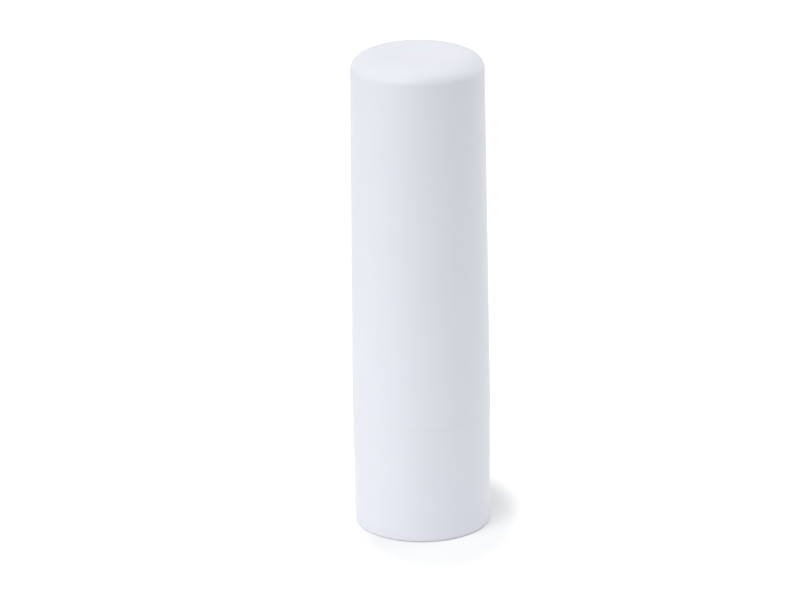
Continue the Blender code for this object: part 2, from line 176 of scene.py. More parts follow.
# %% Turn a section into a mesh
def wrap(name, rows, columns, change=None):
    """A closed mesh from a section turned round Z.

    Point (i, j) is (r cos a, r sin a, z), for the radius r and height z of row i and the angle a of column j.
    change may replace r and z, given r, z and a as grids. A section whose ends lie on the axis is closed there by
    one point with a fan of triangles, and any other is closed by joining its last row to its first.
    """
    angle = np.broadcast_to(np.arange(columns) * math.tau / columns, (len(rows), columns))
    radius = np.repeat(rows[:, :1], columns, axis=1)
    height = np.repeat(rows[:, 1:], columns, axis=1)
    if change:
        radius, height = change(radius, height, angle)
    points = np.stack([radius * np.cos(angle), radius * np.sin(angle), height], axis=-1) * MM
    column = np.arange(columns)
    after = np.roll(column, -1)
    has_poles = rows[0, 0] == 0.0
    if has_poles:
        poles = points[[0, -1], 0]
        points = points[1:-1]
    count = len(points)
    row = np.arange(count - 1 if has_poles else count)[:, None]
    below = (row + 1) % count * columns
    row = row * columns
    quads = np.stack([row + column, below + column, below + after, row + after], axis=-1).reshape(-1, 4)
    vertices = points.reshape(-1, 3)
    faces = quads.tolist()
    if has_poles:
        first = len(vertices)
        last_row = (count - 1) * columns
        vertices = np.vstack([vertices, poles])
        faces += np.stack([np.full(columns, first), column, after], axis=-1).tolist()
        faces += np.stack([last_row + column, np.full(columns, first + 1), last_row + after], axis=-1).tolist()
    mesh = bpy.data.meshes.new(name)
    mesh.from_pydata(vertices.tolist(), [], faces)
    mesh.shade_smooth()
    made = bpy.data.objects.new(name, mesh)
    bpy.context.scene.collection.objects.link(made)
    print(f"{name}: {len(rows)} rows, {columns} columns, {len(faces)} faces")
    return made


def ribs(radius, angle, count, width, edge, turn=0.0):
    """1 on each of count ribs spread evenly round the axis, and 0 between them.

    The distance across from the middle of the nearest rib is r sin(b), where b is the angle from that rib. The value
    falls from 1 to 0 over edge, centred on the rib's side at half its width.
    """
    pitch = math.tau / count
    from_rib = (angle - turn + pitch / 2) % pitch - pitch / 2
    across = np.abs(radius * np.sin(from_rib))
    return ease((width / 2 - across) / edge + 0.5)


def between(value, low, high, edge):
    """1 from low to high, easing to 0 over edge inside each end."""
    return ease((value - low) / edge) * ease((high - value) / edge)


# %% [markdown]
# ## Placing a piece
# A piece has to say three things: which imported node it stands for, which body it moves with, and which finish it
# takes. One helper says all three, so no piece can forget one.

# %% Say what a piece stands for
def stand_for(piece, node, body, finish):
    """Gives the piece its finish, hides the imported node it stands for, and lets it move with that node's body."""
    piece.data.materials.append(finish)
    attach(piece, body)
    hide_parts(node)
    print(f"{piece.name} stands for {node} and moves with {body}")


# %% [markdown]
# ## Colours and nodes
# Colours are noted the way a colour picker shows them, as sRGB hex, and one function turns them into the linear
# numbers that light is added up in. One more function adds a shader node with its settings and its links.

# %% Colour and node helpers
def linear(colour):
    """The linear value of an sRGB hex colour: c / 12.92 in the deep shadows, ((c + 0.055) / 1.055)^2.4 above."""
    value = np.array([int(colour[start:start + 2], 16) for start in (1, 3, 5)]) / 255
    value = np.where(value <= 0.04045, value / 12.92, ((value + 0.055) / 1.055) ** 2.4)
    return (*value.tolist(), 1.0)


def add(tree, kind, inputs=None, **settings):
    """Adds a shader node. inputs gives sockets a value, or the output that feeds them; settings are its own."""
    node = tree.nodes.new("ShaderNode" + kind)
    for name, value in settings.items():
        setattr(node, name, value)
    for socket, value in (inputs or {}).items():
        if isinstance(value, bpy.types.NodeSocket):
            tree.links.new(value, node.inputs[socket])
        else:
            node.inputs[socket].default_value = value
    return node


print("#808080 is", round(linear("#808080")[0], 3), "of full white")


# %% Begin and end a material
def start_material(name):
    """A material with an empty node tree, and the Object coordinates in mm that its patterns read."""
    material = bpy.data.materials.new(name)
    material.use_nodes = True
    tree = material.node_tree
    tree.nodes.clear()
    place = add(tree, "TexCoord").outputs["Object"]
    in_mm = add(tree, "VectorMath", {0: place, 1: (1 / MM, 1 / MM, 1 / MM)}, operation="MULTIPLY")
    return material, tree, in_mm.outputs["Vector"]


def end_material(material, shader):
    """Links the shader to the material's output, and says how many nodes the finish took."""
    tree = material.node_tree
    add(tree, "OutputMaterial", {"Surface": shader.outputs["BSDF"]})
    print(f"{material.name}: {len(tree.nodes)} nodes")


# %% [markdown]
# ## Moulded white polypropylene
# The cap and the base are injection moulded from one batch of polypropylene, pigmented a faintly bluish white. The
# mould is blasted to a satin, so the highlights are broad and soft. A single flat colour would look like paint.
# The real surface has pigment that is never stirred perfectly, gloss that drifts where the melt cooled faster, and a
# grain from the blasted steel. The grain is really about 0.03 mm. It is drawn at 0.3 mm here, shallow, because
# anything finer would vanish between the pixels.

# %% The cap's and the base's finish
PIGMENT_CLOUD = 11.1  # across one cloud of better stirred pigment, in mm
BLASTED_GRAIN = 0.303
BLASTED_DEPTH = 0.006


def white_polypropylene():
    material, tree, place = start_material("moulded white polypropylene")
    cloud = add(tree, "TexNoise", {"Vector": place, "Scale": 1 / PIGMENT_CLOUD, "Detail": 2.0, "Roughness": 0.5})
    grain = add(tree, "TexNoise", {"Vector": place, "Scale": 1 / BLASTED_GRAIN, "Detail": 2.0, "Roughness": 0.6})
    pigment = add(
        tree,
        "Mix",
        {"Factor": cloud.outputs["Fac"], "A": linear("#ECEFF6"), "B": linear("#EAECF5")},
        data_type="RGBA",
    )
    gloss = add(
        tree,
        "MapRange",
        {"Value": cloud.outputs["Fac"], "From Min": 0.3, "From Max": 0.7, "To Min": 0.40, "To Max": 0.46},
    )
    relief = add(tree, "Bump", {"Height": grain.outputs["Fac"], "Strength": 0.25, "Distance": BLASTED_DEPTH * MM})
    shader = add(
        tree,
        "BsdfPrincipled",
        {
            "Base Color": pigment.outputs[2],
            "Roughness": gloss.outputs["Result"],
            "Normal": relief.outputs["Normal"],
            "IOR": 1.49,
            "Subsurface Weight": 0.08,
            "Subsurface Radius": (1.0, 1.0, 1.2),
            "Subsurface Scale": 0.6 * MM,
        },
    )
    end_material(material, shader)
    return material


white_plastic = white_polypropylene()

# %% [markdown]
# ## The cap
# The cap is a deep cup moulded upside down over a steel core. Its top edge is a broad, soft round, wider than it is
# high, and the top itself sinks into a shallow dish, so the small mark where the plastic entered the mould can't
# scratch a hand. Inside, six ribs grip the tube. The outside leans in towards the top by half a degree so that it
# slides off the core. The edge could be a plain quarter circle, but in the photograph the shading starts to fall
# well inside the rim, so it is a quarter ellipse here. The dish is a cosine, which meets the edge's crest level,
# without a line that light could catch on.

# %% The cap's sizes
CAP_DRAFT = 0.45
CAP_WALL = 1.15
CAP_ROOF = 1.3
CAP_EDGE_WIDTH = 3.2
CAP_EDGE_HEIGHT = 2.1
CAP_INNER_ROUND = 0.9
MOUTH_CHAMFER = 0.3  # the sloped edge of the cap's and the base's bore
FINE_ROUND = 0.1  # where two faces meet almost sharply
SMALL_ROUND = 0.15
SOFT_ROUND = 0.2
SEAM_GAP = 0.010  # between the cap's lip and the base's
LIP_ROUND = 0.026
DISH_DEPTH = 0.5
GATE_RADIUS = 0.9
GATE_HEIGHT = 0.02
GRIP_COUNT = 6
GRIP_WIDTH = 0.8
GRIP_RADIUS = 7.9
GRIP_START = 2.0  # above the mouth
GRIP_LENGTH = 13.0
GRIP_LEAD = 0.8
MOULDED_EDGE = 0.3  # the width over which a moulded rib's side rises
NEAR = 0.01  # how close to a wall a point still counts as on it

cap_top_radius = CAP_RADIUS - CAP_DRAFT
cap_bore_radius = CAP_RADIUS - CAP_WALL
cap_mouth = BASE_HIGH + SEAM_GAP
cap_ceiling = CAP_HIGH - DISH_DEPTH - CAP_ROOF
crest_radius = cap_top_radius - CAP_EDGE_WIDTH
print(f"crest at radius {crest_radius:.2f} mm, mouth {SEAM_GAP} mm above the base")


# %% Make the cap
def cap_top(dish_steps=28, edge_steps=36):
    """The top from its middle out over the dish, the crest and the rounded edge.

    In the dish the depth is D (1 + cos(pi s)) / 2, where s is the radius as a share of the crest's. The gate mark in
    the middle is a low bump that eases out to its own radius. The edge is a quarter ellipse: the crest's radius plus
    W sin(t), and the top's height less H (1 - cos(t)).
    """
    share = np.linspace(0.0, 1.0, dish_steps, endpoint=False)
    turn = np.linspace(0.0, math.pi / 2, edge_steps)
    radius = np.append(crest_radius * share, crest_radius + CAP_EDGE_WIDTH * np.sin(turn))
    fall = np.append(DISH_DEPTH * (1 + np.cos(math.pi * share)) / 2, CAP_EDGE_HEIGHT * (1 - np.cos(turn)))
    height = CAP_HIGH - fall + GATE_HEIGHT * ease(2 * (1 - radius / GATE_RADIUS))
    return np.stack([radius, height], axis=1)


def grip_ribs(radius, height, angle):
    """Moves the bore in to the grip radius along six ribs with sloped ends. The outer wall is left alone."""
    in_bore = radius < cap_bore_radius + NEAR
    low = CAP_LOW + GRIP_START
    along = between(height, low, low + GRIP_LENGTH, GRIP_LEAD)
    rise = ribs(radius, angle, GRIP_COUNT, GRIP_WIDTH, MOULDED_EDGE) * along * in_bore
    return radius + (GRIP_RADIUS - radius) * rise, height


def make_cap():
    shell = section([
        (cap_top_radius, CAP_HIGH - CAP_EDGE_HEIGHT, 0.0),
        (CAP_RADIUS, cap_mouth, LIP_ROUND),
        (cap_bore_radius + MOUTH_CHAMFER, cap_mouth, FINE_ROUND),
        (cap_bore_radius, cap_mouth + MOUTH_CHAMFER, SOFT_ROUND),
        (cap_top_radius - CAP_WALL, cap_ceiling, CAP_INNER_ROUND),
        (0.0, cap_ceiling, 0.0),
    ], arc_steps=16, longest=0.6)
    cap = wrap("cap_shell", np.vstack([cap_top()[:-1], shell]), columns=320, change=grip_ribs)
    stand_for(cap, "cap", "cap", white_plastic)


make_cap()

# %% [markdown]
# ## The twist base
# The base is the short cup that the fingers turn. It is a hair narrower than the cap's mouth, so the joint shows as
# one fine shadow line and the cap's edge never stands proud on one side. Underneath, only an outer ring touches the
# table: a full flat floor would rock on the gate mark in its middle. Inside are the groove that the tube snaps into
# and the splined socket of the screw. The socket could be a second mesh on the floor, but it is moulded in one with
# the base, so one section runs over both, and its splines are drawn in where the section passes the socket.

# %% The base's sizes
BASE_DRAFT = 0.14
FOOT_ROUND = 0.4
FOOT_WIDTH = 1.5
FOOT_RECESS = 0.6
RECESS_ROUND = 0.25
FLOOR_TOP = 1.7
FLOOR_ROUND = 0.3
BASE_GATE_RADIUS = 1.4
BASE_GATE_DEPTH = 0.25
BASE_BORE = 7.95
GROOVE_DEPTH = 0.5
GROOVE_MIDDLE = 8.4
GROOVE_HALF = 0.65
SOCKET_RADIUS = 5.95
SOCKET_BORE = 4.95
SOCKET_TOP = 3.7
SPLINE_COUNT = 10
SPLINE_DEPTH = 0.5
SPLINE_FLANK_SHARE = 0.12  # of the pitch from one spline to the next
SPLINE_SHARE = 0.57

foot_radius = BASE_RADIUS - BASE_DRAFT
foot_inner = foot_radius - FOOT_ROUND - FOOT_WIDTH
print(f"the base stands on a ring from {foot_inner:.2f} to {foot_radius - FOOT_ROUND:.2f} mm in radius")


# %% Make the base
def spline_valley(angle):
    """0 on each spline and 1 between them, easing over each spline's flanks."""
    phase = angle * SPLINE_COUNT / math.tau % 1.0
    return 1.0 - ease(phase / SPLINE_FLANK_SHARE) * ease((SPLINE_SHARE - phase) / SPLINE_FLANK_SHARE)


def splined_socket(radius, height, angle):
    """Draws the socket's bore in between the splines. The change fades out at the axis and at the ring's outside."""
    fade = np.minimum(radius / SOCKET_BORE, (SOCKET_RADIUS - radius) / (SOCKET_RADIUS - SOCKET_BORE))
    inside = np.clip(fade, 0.0, 1.0) * (height > FLOOR_TOP - NEAR)
    return radius - SPLINE_DEPTH * spline_valley(angle) * inside, height


def make_base():
    rows = section([
        (0.0, FLOOR_TOP, 0.0),
        (SOCKET_BORE, FLOOR_TOP, FINE_ROUND),
        (SOCKET_BORE, SOCKET_TOP, FINE_ROUND),
        (SOCKET_RADIUS, SOCKET_TOP, SMALL_ROUND),
        (SOCKET_RADIUS, FLOOR_TOP, SOFT_ROUND),
        (BASE_BORE, FLOOR_TOP, FLOOR_ROUND),
        (BASE_BORE, GROOVE_MIDDLE - GROOVE_HALF - GROOVE_DEPTH, FINE_ROUND),
        (BASE_BORE + GROOVE_DEPTH, GROOVE_MIDDLE - GROOVE_HALF, FINE_ROUND),
        (BASE_BORE + GROOVE_DEPTH, GROOVE_MIDDLE + GROOVE_HALF, FINE_ROUND),
        (BASE_BORE, GROOVE_MIDDLE + GROOVE_HALF + GROOVE_DEPTH, FINE_ROUND),
        (BASE_BORE, BASE_HIGH - MOUTH_CHAMFER, SOFT_ROUND),
        (BASE_BORE + MOUTH_CHAMFER, BASE_HIGH, FINE_ROUND),
        (BASE_RADIUS, BASE_HIGH, LIP_ROUND),
        (foot_radius, BASE_LOW, FOOT_ROUND),
        (foot_inner, BASE_LOW, SMALL_ROUND),
        (foot_inner, FOOT_RECESS, RECESS_ROUND),
        (BASE_GATE_RADIUS, FOOT_RECESS, FINE_ROUND),
        (BASE_GATE_RADIUS, FOOT_RECESS + BASE_GATE_DEPTH, FINE_ROUND),
        (0.0, FOOT_RECESS + BASE_GATE_DEPTH, 0.0),
    ], arc_steps=8, longest=0.8)
    base = wrap("base_shell", rows, columns=320, change=splined_socket)
    stand_for(base, "twist_base", "base", white_plastic)


make_base()

# %% [markdown]
# ## The inner tube
# Pulling the cap off bares the tube that the balm rises from. It is white polypropylene too, but moulded in a
# polished tool, so it is glossier than the cap, and its thin wall lets a little light through. Four ribs run down its
# bore and keep the elevator from turning, which is what makes the screw lift it. A bead round the outside snaps into
# the base. A plain tube thickened by Solidify would need the bead and the ribs stuck on, with a seam round each. The
# closed section has the bead in its line, and the ribs rise out of the bore's own grid.

# %% The tube's sizes and its finish
TUBE_RADIUS = 7.8
TUBE_BORE = 6.95
TUBE_MOUTH_ROUND = 0.3
TUBE_LIP_ROUND = 0.12  # inside the top edge, where the balm comes out
BEAD_HALF = 0.45
BEAD_ROUND = 0.12
GUIDE_COUNT = 4
GUIDE_WIDTH = 1.1
GUIDE_HEIGHT = 0.5
GUIDE_INSET = 1.2
GUIDE_LEAD = 0.6
MELT_CLOUD = 6.67  # across one cloud of the melt, in mm
POLISH_LENGTH = 2.5  # of a line left by polishing
POLISH_SPACING = 0.167  # really about 0.02 mm, drawn coarser so that it shows
POLISH_DEPTH = 0.004
bead_height = BEAD_RADIUS - TUBE_RADIUS


def glossy_polypropylene():
    material, tree, place = start_material("polished white polypropylene")
    cloud = add(tree, "TexNoise", {"Vector": place, "Scale": 1 / MELT_CLOUD, "Detail": 2.0})
    # Fine lines left by polishing the core run round the tube, so the pattern is squeezed along the axis.
    squeeze = (1 / POLISH_LENGTH, 1 / POLISH_LENGTH, 1 / POLISH_SPACING)
    along = add(tree, "Mapping", {"Vector": place, "Scale": squeeze})
    lines = add(tree, "TexNoise", {"Vector": along.outputs["Vector"], "Scale": 1.0, "Detail": 1.0})
    tint = add(
        tree,
        "Mix",
        {"Factor": cloud.outputs["Fac"], "A": linear("#F1F3F6"), "B": linear("#ECEFF4")},
        data_type="RGBA",
    )
    gloss = add(tree, "MapRange", {"Value": lines.outputs["Fac"], "To Min": 0.2, "To Max": 0.28})
    relief = add(tree, "Bump", {"Height": lines.outputs["Fac"], "Strength": 0.15, "Distance": POLISH_DEPTH * MM})
    shader = add(
        tree,
        "BsdfPrincipled",
        {
            "Base Color": tint.outputs[2],
            "Roughness": gloss.outputs["Result"],
            "Normal": relief.outputs["Normal"],
            "IOR": 1.49,
            "Subsurface Weight": 0.25,
            "Subsurface Radius": (1.0, 1.0, 1.1),
            "Subsurface Scale": 0.8 * MM,
        },
    )
    end_material(material, shader)
    return material


tube_plastic = glossy_polypropylene()


# %% Make the tube
def guide_ribs(radius, height, angle):
    """Raises four ribs in the bore, with sloped ends."""
    in_bore = radius < TUBE_BORE + NEAR
    along = between(height, TUBE_LOW + GUIDE_INSET, TUBE_HIGH - GUIDE_INSET, GUIDE_LEAD)
    rise = ribs(radius, angle, GUIDE_COUNT, GUIDE_WIDTH, MOULDED_EDGE) * along * in_bore
    return radius - GUIDE_HEIGHT * rise, height


def make_tube():
    rows = section([
        (TUBE_RADIUS, TUBE_HIGH, TUBE_MOUTH_ROUND),
        (TUBE_RADIUS, GROOVE_MIDDLE + BEAD_HALF + bead_height, SMALL_ROUND),
        (BEAD_RADIUS, GROOVE_MIDDLE + BEAD_HALF, BEAD_ROUND),
        (BEAD_RADIUS, GROOVE_MIDDLE - BEAD_HALF, BEAD_ROUND),
        (TUBE_RADIUS, GROOVE_MIDDLE - BEAD_HALF - bead_height, SMALL_ROUND),
        (TUBE_RADIUS, TUBE_LOW, TUBE_MOUTH_ROUND),
        (TUBE_BORE, TUBE_LOW, FINE_ROUND),
        (TUBE_BORE, TUBE_HIGH, TUBE_LIP_ROUND),
    ], arc_steps=8, longest=0.4, closed=True)
    tube = wrap("tube_wall", rows, columns=288, change=guide_ribs)
    stand_for(tube, "inner_tube", "tube", tube_plastic)


make_tube()

# %% [markdown]
# ## The drive screw
# The screw stands in the base and turns with it. Its thread is steep, one turn for 4 mm, so six and a half turns
# bring up the whole balm, and it is left-handed, so turning the base clockwise from below raises the balm.
# A thread could be a coil joined to a core, with a crease along the join. On a grid it needs no join: where the ridge
# lies depends only on the height plus the angle's share of a turn, so the radius is raised there. Screw and elevator
# are natural acetal, a slippery plastic with no pigment, so to the eye they are a little darker, warmer and clearer
# than the shells.

# %% The screw's sizes and its finish
CORE_RADIUS = 1.5
THREAD_DEPTH = 0.8
THREAD_ROOT = 1.5
THREAD_CREST = 0.8
THREAD_LEAD = 4.0
SCREW_FOOT_TOP = 4.1
SCREW_FILLET = 0.5
STOP_LOW = 34.0
STOP_RADIUS = 2.2
STOP_RIM = 0.3  # height of the stop head's upright rim, below its slope
STOP_ROUND = 0.08
STOP_TIP_ROUND = 0.3
THREAD_CLEARANCE = 0.2
THREAD_FADE = 1.6  # height over which the ridge rises out of the core at each end
FLOW_CLOUD = 3.33  # across one cloud where the melt flowed in, in mm
SPARK_GRAIN = 0.2  # of a spark-eroded mould, really about 0.05 mm, drawn coarser so that it shows
SPARK_DEPTH = 0.004


def acetal():
    material, tree, place = start_material("moulded natural acetal")
    cloud = add(tree, "TexNoise", {"Vector": place, "Scale": 1 / FLOW_CLOUD, "Detail": 2.0})
    grain = add(tree, "TexNoise", {"Vector": place, "Scale": 1 / SPARK_GRAIN, "Detail": 1.0})
    tint = add(
        tree,
        "Mix",
        {"Factor": cloud.outputs["Fac"], "A": linear("#E9E9E4"), "B": linear("#E2E2DC")},
        data_type="RGBA",
    )
    gloss = add(tree, "MapRange", {"Value": cloud.outputs["Fac"], "To Min": 0.3, "To Max": 0.4})
    relief = add(tree, "Bump", {"Height": grain.outputs["Fac"], "Strength": 0.2, "Distance": SPARK_DEPTH * MM})
    shader = add(
        tree,
        "BsdfPrincipled",
        {
            "Base Color": tint.outputs[2],
            "Roughness": gloss.outputs["Result"],
            "Normal": relief.outputs["Normal"],
            "IOR": 1.48,
            "Subsurface Weight": 0.1,
            "Subsurface Radius": (1.0, 1.0, 0.9),
            "Subsurface Scale": 0.5 * MM,
        },
    )
    end_material(material, shader)
    return material


mechanism_plastic = acetal()


# %% Make the screw
def from_ridge(height, angle):
    """How far along the axis a point lies from the middle of the left-hand thread's nearest turn.

    The ridge's middle is where the height above the screw's foot, over the lead, plus the angle over a full turn is
    a whole number.
    """
    turns = (height - SCREW_FOOT_TOP) / THREAD_LEAD + angle / math.tau
    return (turns - np.round(turns)) * THREAD_LEAD


def flank(away, root, crest):
    """1 on the ridge's crest and 0 off its root, for the distance away from its middle."""
    return ease((root / 2 - np.abs(away)) / (root / 2 - crest / 2))


def screw_surface(radius, height, angle):
    """Raises the thread on the core, and draws the foot in between its splines.

    The ridge grows out of the core and sinks back into it by the height of its own middle, so it tapers along its
    length and isn't cut off level.
    """
    on_core = (radius < CORE_RADIUS + NEAR) & (height > SCREW_FOOT_TOP + SCREW_FILLET) & (height < STOP_LOW)
    away = from_ridge(height, angle)
    low, high = SCREW_FOOT_TOP + THREAD_ROOT / 2, STOP_LOW - THREAD_ROOT / 2
    rise = between(height - away, low, high, THREAD_FADE) * on_core
    threaded = radius + THREAD_DEPTH * flank(away, THREAD_ROOT, THREAD_CREST) * rise
    on_foot = np.clip(radius / SPLINE_RADIUS, 0.0, 1.0) * (height <= SCREW_FOOT_TOP)
    return threaded - SPLINE_DEPTH * spline_valley(angle) * on_foot, height


def make_screw():
    rows = section([
        (0.0, SCREW_HIGH, 0.0),
        (CORE_RADIUS, SCREW_HIGH, STOP_TIP_ROUND),
        (STOP_RADIUS, STOP_LOW + STOP_RIM, SMALL_ROUND),
        (STOP_RADIUS, STOP_LOW, STOP_ROUND),
        (CORE_RADIUS, STOP_LOW, FINE_ROUND),
        (CORE_RADIUS, SCREW_FOOT_TOP, SCREW_FILLET),
        (SPLINE_RADIUS, SCREW_FOOT_TOP, SOFT_ROUND),
        (SPLINE_RADIUS, SCREW_LOW, SOFT_ROUND),
        (0.0, SCREW_LOW, 0.0),
    ], arc_steps=6, longest=0.12)
    screw = wrap("screw_body", rows, columns=120, change=screw_surface)
    stand_for(screw, "drive_screw", "base", mechanism_plastic)


make_screw()

# %% [markdown]
# ## The elevator
# The elevator is a little cup with a threaded boss in its middle. Four keyways on its outside ride on the tube's
# ribs, and four vanes on its floor bite into the balm so that the balm can't spin on it. All of them could be cut or
# joined with Booleans, at the price of slivers along every cut. On the grid a keyway moves the outer wall in, a vane
# lifts the floor, and the groove for the screw's thread moves the bore out.

# %% The elevator's sizes
CUP_RADIUS = 5.65
CUP_FLOOR = 5.3
CUP_FLOOR_ROUND = 0.25
CUP_FOOT_ROUND = 0.3
NUT_BORE = 1.7
NUT_RADIUS = 3.6
NUT_TOP = 7.8
KEYWAY_CLEARANCE = 0.2
KEYWAY_EDGE = 0.2  # the width over which a keyway's side falls
VANE_COUNT = 4
VANE_WIDTH = 0.7  # at the middle of its length
VANE_TOP = 7.7
VANE_MIDDLE = (NUT_RADIUS + CUP_RADIUS) / 2
VANE_EDGE = 0.25  # the width over which a vane's side rises
keyway_depth = ELEVATOR_RADIUS - (TUBE_BORE - GUIDE_HEIGHT - KEYWAY_CLEARANCE)
print(f"keyways {keyway_depth:.2f} mm deep")


# %% Make the elevator
def vane(angle, gap=0.0):
    """1 on each of the four vanes, or on the slots that they leave in the balm, which are wider by the gap.

    The width is taken at the middle of a vane's length. Its sides run along the grid's columns, so they stay clean.
    """
    return ribs(VANE_MIDDLE, angle, VANE_COUNT, VANE_WIDTH + 2 * gap, VANE_EDGE, turn=math.pi / VANE_COUNT)


def elevator_surface(radius, height, angle):
    """Keyways, vanes and the thread's groove. Each change fades out across the wall that it is cut in."""
    keyway = ribs(radius, angle, GUIDE_COUNT, GUIDE_WIDTH + 2 * KEYWAY_CLEARANCE, KEYWAY_EDGE)
    outer = np.clip((radius - CUP_RADIUS) / (ELEVATOR_RADIUS - CUP_RADIUS), 0.0, 1.0)
    wider = 2 * THREAD_CLEARANCE
    groove = flank(from_ridge(height, angle), THREAD_ROOT + wider, THREAD_CREST + wider)
    groove_depth = CORE_RADIUS + THREAD_DEPTH + THREAD_CLEARANCE - NUT_BORE
    nut = np.clip((NUT_RADIUS - radius) / (NUT_RADIUS - NUT_BORE), 0.0, 1.0)
    in_cup = (radius > NUT_RADIUS - NEAR) & (radius < CUP_RADIUS + NEAR) & (height > CUP_FLOOR - NEAR)
    wall_top = np.where(radius > VANE_MIDDLE, ELEVATOR_HIGH, NUT_TOP)
    lift = (VANE_TOP - CUP_FLOOR) * np.clip((wall_top - height) / (wall_top - CUP_FLOOR), 0.0, 1.0)
    moved = radius - keyway_depth * keyway * outer + groove_depth * groove * nut
    return moved, height + lift * vane(angle) * in_cup


def make_elevator():
    rows = section([
        (ELEVATOR_RADIUS, ELEVATOR_HIGH, SMALL_ROUND),
        (ELEVATOR_RADIUS, ELEVATOR_LOW, CUP_FOOT_ROUND),
        (NUT_BORE + SCREW_FILLET, ELEVATOR_LOW, FINE_ROUND),
        (NUT_BORE, ELEVATOR_LOW + SCREW_FILLET, FINE_ROUND),
        (NUT_BORE, NUT_TOP, FINE_ROUND),
        (NUT_RADIUS, NUT_TOP, SMALL_ROUND),
        (NUT_RADIUS, CUP_FLOOR, SOFT_ROUND),
        (CUP_RADIUS, CUP_FLOOR, CUP_FLOOR_ROUND),
        (CUP_RADIUS, ELEVATOR_HIGH, SMALL_ROUND),
    ], arc_steps=6, longest=0.1, closed=True)
    elevator = wrap("elevator_cup", rows, columns=240, change=elevator_surface)
    stand_for(elevator, "elevator", "carriage", mechanism_plastic)


make_elevator()

# %% [markdown]
# ## The balm
# The balm is waxes and oils, poured hot and set in its mould. Light goes a few millimetres into it before it comes
# back, which gives wax its soft, creamy edges, so the material leans on subsurface scattering more than on gloss.
# A new stick has a smooth dome with a trace of the pour on it: faint rings and a tiny lean. A plain half ellipse
# would look machined, and sculpting it would be hard to repeat, so the trace is two small waves on the height. The
# tube's ribs leave four shallow grooves down its side.

# %% The balm's sizes and its finish
BALM_DOME = 2.6
DOME_ROWS = 40
BALM_GAP = 0.15
BALM_FOOT_ROUND = 0.3
BALM_BORE = 2.5
BALM_BORE_TOP = 35.1
POUR_RING = 0.9  # from one ring of the pour to the next
POUR_RING_HEIGHT = 0.012
POUR_LEAN = 0.05
POUR_SIDE = 0.6  # in radians, the side that the dome leans up to
WAX_CLOUD = 2.86  # across one cloud of yellower wax, in mm
WAX_BLOOM = 0.455  # across one of the duller spots where fine crystals reach the surface
BLOOM_DEPTH = 0.02
GROOVE_SHARE = 0.96  # of what stands over the groove's floor, so that level rows keep apart there
groove_floor = TUBE_BORE - GUIDE_HEIGHT - BALM_GAP


def wax():
    material, tree, place = start_material("poured wax balm")
    cloud = add(tree, "TexNoise", {"Vector": place, "Scale": 1 / WAX_CLOUD, "Detail": 3.0, "Roughness": 0.6})
    bloom = add(tree, "TexNoise", {"Vector": place, "Scale": 1 / WAX_BLOOM, "Detail": 4.0, "Roughness": 0.65})
    tint = add(
        tree,
        "Mix",
        {"Factor": cloud.outputs["Fac"], "A": linear("#F6EFDC"), "B": linear("#F0E6CB")},
        data_type="RGBA",
    )
    gloss = add(
        tree,
        "MapRange",
        {"Value": bloom.outputs["Fac"], "From Min": 0.35, "From Max": 0.65, "To Min": 0.38, "To Max": 0.55},
    )
    relief = add(tree, "Bump", {"Height": bloom.outputs["Fac"], "Strength": 0.3, "Distance": BLOOM_DEPTH * MM})
    shader = add(
        tree,
        "BsdfPrincipled",
        {
            "Base Color": tint.outputs[2],
            "Roughness": gloss.outputs["Result"],
            "Normal": relief.outputs["Normal"],
            "IOR": 1.44,
            "Subsurface Weight": 0.7,
            "Subsurface Radius": (1.0, 0.75, 0.45),
            "Subsurface Scale": 1.8 * MM,
        },
    )
    end_material(material, shader)
    return material


balm_wax = wax()


# %% Make the balm
def balm_surface(radius, height, angle):
    """Grooves where the tube's ribs pass, slots where the vanes bite, and the rings and lean of the pour."""
    groove = ribs(radius, angle, GUIDE_COUNT, GUIDE_WIDTH + 2 * BALM_GAP, MOULDED_EDGE)
    moved = radius - groove * GROOVE_SHARE * np.maximum(radius - groove_floor, 0.0)
    cup_top = ELEVATOR_HIGH + BALM_GAP
    nut_wall = NUT_RADIUS + BALM_GAP
    cup_wall = CUP_RADIUS - BALM_GAP
    in_cup = (radius > nut_wall - NEAR) & (radius < cup_wall + NEAR) & (height < cup_top)
    wall_top = np.where(radius > VANE_MIDDLE, cup_top, NUT_TOP + BALM_GAP)
    slot = (VANE_TOP + BALM_GAP - BALM_LOW) * np.clip((wall_top - height) / (wall_top - BALM_LOW), 0.0, 1.0)
    raised = height + slot * vane(angle, BALM_GAP) * in_cup
    on_dome = ease((height - (BALM_HIGH - BALM_DOME)) / BALM_DOME)
    rings = POUR_RING_HEIGHT * (np.cos(radius / POUR_RING * math.tau) - 1) * on_dome
    lean = POUR_LEAN * (radius / BALM_RADIUS * np.cos(angle - POUR_SIDE) - 1) * on_dome
    return moved, raised + rings + lean


